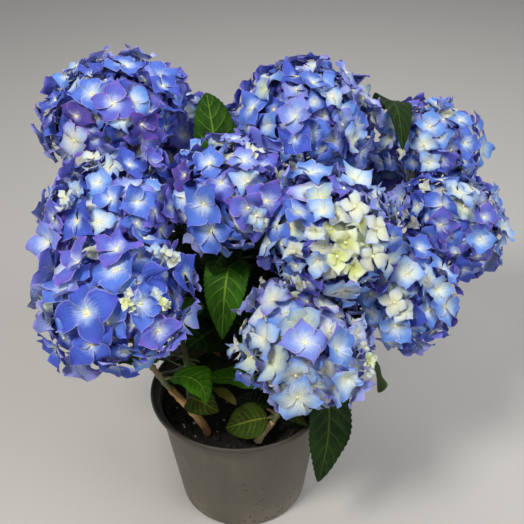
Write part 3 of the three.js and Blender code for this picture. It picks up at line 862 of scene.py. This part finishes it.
for number, (name, share, arch, tip, (width, petiole), tint) in enumerate(leafPlan):
    keepLeaf(leafOf(bezier(shoots[name], share)[0], arch, tip, width, petiole), 900 + number, tint)
serial, grown = 0, []
for plan in (shoot, twig, spray):
    if plan is not shoot:
        leaf = {**leaf, **{key: value for key, value in plan.items() if key != "nodes"}}
    for step, share in reversed(list(enumerate(plan["nodes"]))):
        for name, one in poses.items():
            for side in (0, 180):
                serial += 1
                growLeaf(name, share, float(one["bearing"] + 90 * step + side), serial)
    grown.append(len(leaves))
print("grew leaves up to", grown)

blade = {
    "teeth": 19, "toothSize": 0.055, "columns": 6, "thickness": 0.5, "fold": 0.16, "wave": 0.07,
    "shape": (0.62, 0.86),
}
smallBlade = {**blade, "teeth": 13, "columns": 4}


def buildLeaves(title, chosen, plan):
    # each blade is a grid along and across its midrib: half its width is a power of the share from its
    # foot times a power of the share to its tip, stepped into forward-pointing teeth. It is folded up a
    # little from the midrib and waves along its edges.
    rows, (low, high) = plan["teeth"] * 3, plan["shape"]
    along, aside = np.linspace(0, 1, rows + 1), np.linspace(-1, 1, plan["columns"] + 1)
    peak = low / (low + high)
    outline = along**low * (1 - along) ** high / (peak**low * (1 - peak) ** high)
    tooth = np.array([0.0, 0.55, 1.0])[np.arange(rows + 1) % 3] * np.sin(np.pi * along) ** 0.4
    outline = outline * (1 - plan["toothSize"]) + plan["toothSize"] * tooth
    outline[[0, -1]] = 0
    fronts, backs = [], []
    for one in chosen:
        shares = one["petiole"] + (1 - one["petiole"]) * along
        over = np.cross(one["across"], tangents(one["controls"], shares))[:, None]
        half = (outline * one["width"] / 2)[:, None]
        phase = chance(one["serial"], 21) * 6.28
        out = half * aside
        waves = np.sin(along[:, None] * 15 + phase + (aside > 0) * 2.2) * aside**2 * plan["wave"]
        lift = np.abs(out) * plan["fold"] + waves * half
        skin = plan["thickness"] / 2 * (1 - aside**2) * np.minimum(1, half / 3)
        grid = bezier(one["controls"], shares)[:, None] + out[..., None] * one["across"]
        fronts.append(grid + (lift + skin)[..., None] * over)
        backs.append(grid + (lift - skin)[..., None] * over)
    shape = Shape()
    tints = np.array([leafNames.index(one["tint"]) for one in chosen])
    addShells(shape, np.array(fronts), np.array(backs), tints, 0 * tints + leafNames.index("under"))
    makePiece(title, shape, leafMaterials, shootNodes, tiles=3, sharp=75)


buildLeaves("leaves", leaves[: grown[0]], blade)
buildLeaves("small_leaves", leaves[grown[0] :], smallBlade)

# the rib under each blade: the share of the leaf it reaches, and how it thins and sinks into the blade
rib = {"reach": 0.97, "rings": 14, "sides": 6, "tipRadius": 0.25, "thinning": 0.7, "sunk": 0.8}


def buildShoots():
    # each stem is a tube that tapers along its curve and swells at its leaf nodes; each leaf stalk runs
    # on under its blade as a rib that thins to the tip
    shape = Shape()
    shares = np.linspace(0, 1, shoot["rings"])
    swell = sum(np.exp(-(((shares - node) / shoot["knotLength"]) ** 2)) for node in shoot["nodes"])
    radii = between(shoot["footRadius"], shoot["tipRadius"], shares) * (1 + shoot["knot"] * swell)
    paths = np.stack([bezier(curve, shares) for curve in shoots.values()])
    addTubes(shape, paths, np.tile(radii, (len(paths), 1)), shoot["sides"])
    shares = np.linspace(0, rib["reach"], rib["rings"])
    ribs, thinned = [], np.clip((shares - 0.05) / 0.9, 0, 1) ** rib["thinning"]
    radius = between(leaf["petioleRadius"], rib["tipRadius"], thinned)
    for one in leaves:
        over = np.cross(one["across"], tangents(one["controls"], shares))
        sunk = np.where(shares < one["petiole"], 0, radius * rib["sunk"])
        ribs.append(bezier(one["controls"], shares) - over * sunk[:, None])
    addTubes(shape, np.array(ribs), np.tile(radius, (len(ribs), 1)), rib["sides"])
    makePiece("green_stems", shape, [plain["green_stem"]], shootNodes)


buildShoots()


def buildCanes():
    # a tube along each cane, its surface in and out by long ridges and small bumps of bark
    shape, rings, sides = Shape(), cane["rings"], cane["sides"]
    shares = np.linspace(0, 1, rings)[:, None]
    radii = between(cane["footRadius"], cane["tipRadius"], shares)
    turn = circle(sides)
    for number, (name, plan) in enumerate(canes.items()):
        path = bezier(caneCurve(*plan), shares)
        addTubes(shape, path[None], radii[None, :, 0], sides, int(name == cane["pale"]))
        points = shape.points[-1][: rings * sides].reshape(rings, sides, 3)
        ridges = np.sin(turn * 5 + shares * 4 + number) + np.sin(turn * 9 - shares * 31)
        ridges = ridges + 1.6 * np.exp(-(((shares * 4 + number * 0.3) % 1 - 0.5) / 0.06) ** 2)
        points += (points - path[:, None]) / radii[..., None] * (ridges * cane["relief"])[..., None]
    materials = [plain["cane_bark"], plain["pale_bark"]]
    makePiece("canes", shape, materials, ["cane_" + name for name in canes])


buildCanes()

# Flower heads: how many florets and where, and the shape of their petals
floret = {
    "cover": 7.9, "inner": 36, "innerRadius": 24, "spread": 0.2, "layer": 0.15, "innerDepth": (0.56, 0.7),
    "coverage": 118, "jitter": 0.2, "tilt": 19, "skirt": 0.15, "wallRoom": 3, "press": 0.65, "company": 4,
    "tipReach": 0.93, "tipRise": 0.34, "rows": 6, "columns": 6, "lengths": (0.88, 1.1), "widths": (0.39, 0.5),
    "thickness": 0.35, "waist": (0.42, 0.52), "point": (0.72, 1.05), "lift": (0, 48), "curl": (-76, 14),
    "cup": (-0.3, 0.42), "fold": 0.06, "ruffle": 0.11, "pairLift": 0.9, "young": 0.045, "youngSize": 0.55,
    "youngLift": 24, "youngWidth": 0.88, "bead": 1.5, "beadRise": 0.9, "under": 0.8, "drop": 0.1, "soft": 0.3,
    "part": 40, "step": 0.05, "wallGap": 0.3, "clumpReach": 0.9, "paleBacks": 0.45,
}
# half the width of a floret on each head, in millimetres
floretRadius = {
    "top_left": 20, "mid_left": 20.5, "front_left": 26, "top_centre": 20, "centre": 21, "centre_front": 21,
    "bottom_front": 21.5, "top_right": 18, "mid_right": 19.5, "low_right": 19, "rear_left": 21.5,
    "rear_right": 21,
}
# clumps of young florets: head, place in mm, reach, how many, half width of one, tints from the middle out
clumps = [
    ("centre_front", (98, -77, 363), 42, 19, 16.5, ("lime", "lime", "cream", "cream", "pale")),
    ("centre_front", (52, -79, 332), 14, 4, 11, ("cream", "pale")),
    ("bottom_front", (4, -91, 268), 14, 4, 11, ("cream", "pale")),
    ("bottom_front", (114, -104, 261), 13, 4, 10, ("lime", "cream")),
    ("low_right", (145, -67, 293), 10, 2, 14, ("cream",)),
    ("mid_right", (171, 32, 326), 12, 3, 11, ("cream", "pale")),
    ("centre_front", (144, -25, 361), 10, 3, 11, ("pale", "cream")),
    ("mid_left", (-139, -38, 387), 13, 3, 12, ("cream", "pale")),
    ("mid_left", (-120, -5, 404), 9, 2, 11, ("cream",)),
    ("front_left", (-55, -88, 358), 12, 3, 12, ("cream", "pale")),
    ("front_left", (-81, -133, 346), 9, 3, 7, ("lime", "cream")),
    ("front_left", (-57, -126, 341), 9, 3, 7, ("lime", "pale")),
    ("top_centre", (62, 38, 379), 12, 4, 9, ("cream", "pale")),
    ("centre", (22, -50, 376), 9, 2, 11, ("pale", "cream")),
]
# petal tints on each head, and how likely each is
bouquet = {
    "deep": 2, "blue": 5, "sky": 4, "violet": 3, "lavender": 2, "pale": 1.2, "mint": 0.7, "plum": 0.3,
    "blush": 0.7,
}
headTints = {
    "front_left": {**bouquet, "deep": 7, "blue": 6, "sky": 1.5, "lavender": 0.8, "pale": 0.5},
    "top_left": {
        **bouquet, "deep": 6, "violet": 5, "blue": 4, "sky": 1, "lavender": 1.5, "pale": 0.3, "mint": 0.2,
    },
    "top_centre": {**bouquet, "deep": 2.5, "violet": 4.5, "sky": 3, "pale": 0.8},
    "centre_front": {**bouquet, "deep": 1, "blue": 5, "sky": 6, "pale": 3, "mint": 3, "blush": 1.5},
    "bottom_front": {
        **bouquet, "deep": 0, "blue": 2, "sky": 5, "violet": 0.6, "pale": 8, "mint": 4, "blush": 9,
    },
    "low_right": {**bouquet, "sky": 5, "pale": 3, "mint": 2},
    "mid_left": {**bouquet, "deep": 4, "sky": 2.5, "pale": 0.5, "mint": 0.8},
    "top_right": {**bouquet, "deep": 0.7, "blue": 5, "sky": 7, "lavender": 3.5, "pale": 2},
}
# a fixed direction, from which the turn of each floret about its stalk is counted
steady = [0.2, 0.1, 0.97]


def outerShare(radius, reach, plan):
    # how far out a floret's eye may lie for its lifted tips to end on the outline
    return (np.sqrt(radius**2 - (plan["tipReach"] * reach) ** 2) - plan["tipRise"] * reach) / radius


def placeFlorets(one, count, depths, seed, plan):
    # a golden-angle spiral from the head's top down, each place shifted by chance
    index = np.arange(count)
    shifted = lambda salt: (chance(index, seed + salt) - 0.5) * 2
    lowest = np.cos(np.radians(plan["coverage"]))
    gap = np.sqrt(4 * np.pi * (1 - lowest) / 2 / count)
    polar = np.arccos(1 - (index + 0.5) / count * (1 - lowest)) + shifted(0) * plan["jitter"] * gap
    turn = spiral(index) + one["bearing"]
    turn = turn + shifted(1) * plan["jitter"] * gap / np.maximum(np.sin(polar), 0.3)
    depth = between(*depths, (index % 3 + 0.7 * chance(index, seed + 2)) / 2.7) * one["radius"]
    wide = (depth * np.sin(polar))[:, None]
    rise = (depth * one["squat"] * np.cos(polar))[:, None]
    across = wide * (np.cos(turn)[:, None] * one["side"] + np.sin(turn)[:, None] * one["front"])
    eyes = one["centre"] + across + rise * one["axis"]
    facing = unit(across + rise / one["squat"] ** 2 * one["axis"])
    loose = np.stack([shifted(3 + axis) for axis in range(3)], axis=1)
    facing = unit(facing + loose * np.tan(np.radians(plan["tilt"])))
    kept = np.ones(count, bool)
    for place, outwards in wallsOf(one):
        kept &= (eyes - place) @ outwards < -plan["wallRoom"]
    return eyes[kept], facing[kept]


def placeClump(one, plan, place, reach, count, radius, fading):
    # a golden-angle spiral about its place, laid on the head's outline at a share that keeps its petals'
    # tips inside, on three levels
    index, place = np.arange(count), np.array(place, float)
    away, turn = reach * plan["clumpReach"] * np.sqrt((index + 0.2) / count), spiral(index)
    normal = headNormal(one, place[None])[0]
    across = unit(np.cross(normal, steady))
    offset = np.cos(turn)[:, None] * across + np.sin(turn)[:, None] * np.cross(normal, across)
    points = place + offset * away[:, None]
    share = (outerShare(one["radius"], radius, plan) - plan["step"] * (index % 3)) / shareOut(one, points)
    eyes = one["centre"] + (points - one["centre"]) * share[:, None]
    size = radius * between(0.85, 1.15, chance(index, reach))
    tints = np.array([tintNames.index(tint) for tint in fading])[index * len(fading) // count]
    return eyes, headNormal(one, eyes), size, tints, index >= 0, index < 0


def dealFlorets(one, seed, plan):
    # the florets of one head, in an outer and an inner layer and in clumps. Inner ones are darkened as
    # painted shade, with the deep and violet tints; some outer ones are young, and all are smaller towards
    # the head's underside.
    name, radius = one["name"], floretRadius[one["name"]]
    limit = outerShare(one["radius"], radius, plan)
    crowd = int(plan["cover"] * (one["radius"] / radius) ** 2)
    outer = placeFlorets(one, crowd, (limit - plan["layer"], limit), seed, plan)
    inner = placeFlorets(one, plan["inner"], plan["innerDepth"], seed + 11, plan)
    apart = np.linalg.norm(outer[0][:, None] - outer[0][None], axis=2)
    clear = (apart < 2 * radius).sum(axis=1) > plan["company"]
    own = [clump[1:] for clump in clumps if clump[0] == name]
    for place, reach, *rest in own:
        clear &= np.linalg.norm(outer[0] - np.array(place), axis=1) > reach
    eyes, facing = (np.concatenate([near[clear], far]) for near, far in zip(outer, inner))
    index = np.arange(len(eyes))
    hidden = index >= clear.sum()
    young = (chance(index, seed + 21) < plan["young"]) & ~hidden
    shares = np.array([headTints.get(name, bouquet).get(tint, 0) for tint in petalTints], float)
    tints = np.searchsorted(np.cumsum(shares / shares.sum()), chance(index, seed + 20))
    # painted shade: each inner floret takes the darker deep or violet tint, by chance
    paintedShadeTint = np.where(chance(index, seed + 23) < 0.5, tintNames.index("deep"), tintNames.index("violet"))
    tints = np.where(hidden, paintedShadeTint, np.where(young, tintNames.index("cream"), tints))
    size = np.where(hidden, plan["innerRadius"], radius)
    size = size * (1 + plan["spread"] * (chance(index, seed + 24) * 2 - 1))
    size = size * np.where(young, plan["youngSize"], 1)
    low = -(eyes - one["centre"]) @ one["axis"] / (one["radius"] * one["squat"])
    size = size * (1 - plan["skirt"] * np.clip(low, 0, 1))
    parts = [(eyes, facing, size, tints, young, hidden), *(placeClump(one, plan, *clump) for clump in own)]
    return [np.concatenate(part) for part in zip(*parts)]


def pressUnder(points, owner, eyes, facing, size, level, plan):
    # where a petal of a lower floret would rise through a higher floret, it is bent down under it. The
    # bend is the height over a shallow cone about the higher eye, which lies deeper for lower florets,
    # and it fades at the cone's edge.
    for one in np.argsort(level):
        near = np.linalg.norm(eyes[owner] - eyes[one], axis=1) < size[owner] + size[one]
        lower = (level[owner] < level[one]) & near
        offset = points[lower] - eyes[one]
        height = offset @ facing[one]
        away = np.linalg.norm(offset - height[..., None] * facing[one], axis=-1)
        share = np.clip((1 - away / size[one]) / plan["soft"], 0, 1)
        below = ((level[one] - level[owner[lower]]) * plan["part"]).reshape(-1, *[1] * (points.ndim - 2))
        over = np.maximum(height + plan["under"] + below + plan["drop"] * away, 0)
        over = over * share**2 * (3 - 2 * share)
        points[lower] -= over[..., None] * facing[one]
    return points


def buildHead(number, one, plan):
    # each petal is a grid along and across. Its midrib bends up or down by a growing angle. Half its
    # width rises as a sine to the waist, and falls as a power of a half cosine to a pointed tip. It is
    # folded up from its midrib, and its edges cup and ruffle.
    seed = 100 + number * 37
    flat, facing, size, tints, young, hidden = dealFlorets(one, seed, plan)
    index, level = np.arange(len(flat)), shareOut(one, flat)
    eyes = pressUnder(flat.copy(), index, flat, facing, size, level, plan)
    across = unit(np.cross(facing, steady))
    onward = np.cross(facing, across)

    petals, quarter = np.repeat(index, 4), np.tile(np.arange(4), len(eyes))
    dice = lambda salt: chance(np.arange(len(petals)), seed + salt)
    angle = (chance(index, seed + 25) * np.pi)[petals] + quarter * np.pi / 2 + (dice(30) - 0.5) * 0.3
    radial = across[petals] * np.cos(angle)[:, None] + onward[petals] * np.sin(angle)[:, None]
    tangential = np.cross(facing[petals], radial)
    length = size[petals] * between(*plan["lengths"], dice(31))
    width = length * between(*plan["widths"], dice(32)) * np.where(young[petals], plan["youngWidth"], 1)
    openness = chance(index, seed + 26)[petals]
    lift = np.radians(between(*plan["lift"], 0.6 * openness + 0.4 * dice(33)))
    lift = lift + np.radians(plan["youngLift"]) * openness * young[petals]
    bend = np.radians(between(*plan["curl"], dice(34)))
    cup = between(*plan["cup"], dice(35))[:, None, None]
    rows = plan["rows"]
    along, aside = np.linspace(0, 1, rows + 1), np.linspace(-1, 1, plan["columns"] + 1)
    slope = lift[:, None] + bend[:, None] * ((along[1:] + along[:-1]) / 2) ** 1.5
    walk = lambda steps: np.pad(np.cumsum(steps, axis=1), ((0, 0), (1, 0))) * length[:, None] / rows
    reach, rise = walk(np.cos(slope)), walk(np.sin(slope))
    slope = np.pad(slope, ((0, 0), (0, 1)), mode="edge")
    waist, point = between(*plan["waist"], dice(36))[:, None], between(*plan["point"], dice(37))[:, None]
    foot = np.sin(np.pi / 2 * np.clip(along / waist, 0, 1)) ** 0.9
    fall = 0.5 + 0.5 * np.cos(np.pi * np.clip((along - waist) / (1 - waist), 0, 1))
    half = (np.where(along < waist, foot, fall**point) * width[:, None])[..., None]
    phase = (dice(38) * 6.28)[:, None, None]
    ruffle = np.sin(along[:, None] * 8 + phase + np.sign(aside) * 1.9) * aside**2 * plan["ruffle"]
    lifted = half * (aside**2 * cup + np.abs(aside) * plan["fold"]) + ruffle * length[:, None, None]
    lifted = lifted + np.where(quarter % 2, 0, plan["pairLift"])[:, None, None]
    skin = plan["thickness"] / 2 * (1 - aside**2) * np.sin(np.pi * along)[:, None]

    def surface(offset):
        height = lifted + offset
        outwards = reach[..., None] - height * np.sin(slope)[..., None]
        upwards = rise[..., None] + height * np.cos(slope)[..., None]
        points = eyes[petals][:, None, None] + outwards[..., None] * radial[:, None, None]
        points = points + (half * aside)[..., None] * tangential[:, None, None]
        return points + upwards[..., None] * facing[petals][:, None, None]

    middle = surface(0)
    bent = pressUnder(middle.copy(), petals, flat, facing, size, level, plan) - middle

    def sheet(offset):
        points = surface(offset) + bent
        for place, away in wallsOf(one):
            beyond = np.maximum((points - place) @ away, 0)
            points = points - (beyond * plan["press"])[..., None] * away
        return points

    shape = Shape()
    backs = len(petalTints) + (chance(index, seed + 27) < plan["paleBacks"])
    addShells(shape, sheet(skin), sheet(-skin), tints[petals], backs[petals])
    name = one["name"]
    makePiece("florets_" + name, shape, petalMaterials, ["flower_head_" + name], tiles=4, sharp=75)
    return eyes, facing, size, ~hidden


stalk = {
    "radius": 2.4, "tipRadius": 1.6, "branchRadius": 0.75, "reach": 0.9, "lastBranch": 0.8, "rings": 6,
    "sides": 4, "trunkSides": 8,
}


def buildStalks():
    # the short stalk under each head, a thin branch from it to the back of each floret, and the bead in
    # each floret's eye
    stalks, beads = Shape(), Shape()
    shares = np.linspace(0, 1, stalk["rings"])
    for number, one in enumerate(poses.values()):
        eyes, facing, size, seen = buildHead(number, one, floret)
        neck = neckOf(one) + one["axis"] * shoot["gap"]
        trunk = neck + (between(neck, one["centre"], stalk["reach"]) - neck) * shares[:, None]
        radii = between(stalk["radius"], stalk["tipRadius"], shares)
        addTubes(stalks, trunk[None], radii[None], stalk["trunkSides"])
        leaving = chance(np.arange(len(eyes)), 7 + number)[:, None] * stalk["lastBranch"]
        start = between(neck, one["centre"], leaving)
        end = eyes - facing * 0.6
        middle = between(start, end, 0.6) - facing * (size * 0.5)[:, None]
        branch = bezier([start, middle, end], shares).swapaxes(0, 1)
        addTubes(stalks, branch, np.full(branch.shape[:2], stalk["branchRadius"]), stalk["sides"])
        index = np.arange(seen.sum())
        sizes = floret["bead"] * between(0.75, 1.1, chance(index, number))[:, None] * np.ones(3)
        addLumps(beads, eyes[seen] + facing[seen] * floret["beadRise"], sizes, index)
    nodes = ["flower_head_" + name for name in heads]
    makePiece("flower_stalks", stalks, [plain["flower_stalk"]], nodes)
    makePiece("floret_eyes", beads, [plain["eye_bead"]], nodes)


buildStalks()

# how far the floor reaches in metres, its colour, and the soft light from all around
stage = {"reach": 6.0, "color": tone(196, 192, 186), "world": (0.80, 0.82, 0.86, 1.0), "worldStrength": 0.36}
lights = {
    "key": {"place": (-0.55, -0.75, 1.55), "size": 0.42, "watts": 18.5, "color": (1.0, 0.98, 0.95)},
    "fill": {"place": (1.1, -0.6, 1.4), "size": 1.2, "watts": 13, "color": (0.93, 0.96, 1.0)},
    "back": {"place": (0.2, 1.3, 1.5), "size": 1.0, "watts": 7, "color": (1.0, 1.0, 1.0)},
}
# the place in the plant's middle at which all three lights point
litPlace = np.array([0, 0, 0.28])


def addFloor(plan):
    corners = [(x * plan["reach"], y * plan["reach"], 0) for x, y in ((-1, -1), (1, -1), (1, 1), (-1, 1))]
    mesh = bpy.data.meshes.new("floor")
    mesh.from_pydata(corners, [], [(0, 1, 2, 3)])
    mesh.materials.append(dress(newMaterial("pale_floor")[0], plan["color"], 0.7))
    floor = bpy.data.objects.new("floor", mesh)
    bpy.context.collection.objects.link(floor)


def addLights(plans):
    for name, plan in plans.items():
        data = bpy.data.lights.new(name, "AREA")
        data.shape, data.size, data.energy, data.color = "DISK", plan["size"], plan["watts"], plan["color"]
        back = unit(np.array(plan["place"]) - litPlace)
        addPosed(name, data, unit(np.cross([0, 0, 1], back)), back, plan["place"])


addFloor(stage)
addLights(lights)
world = bpy.data.worlds.new("soft_sky")
world.use_nodes = True
world.node_tree.nodes["Background"].inputs[0].default_value = stage["world"]
world.node_tree.nodes["Background"].inputs[1].default_value = stage["worldStrength"]
bpy.context.scene.world = world
bpy.context.scene.view_settings.view_transform = "Standard"
print("lit the stage")
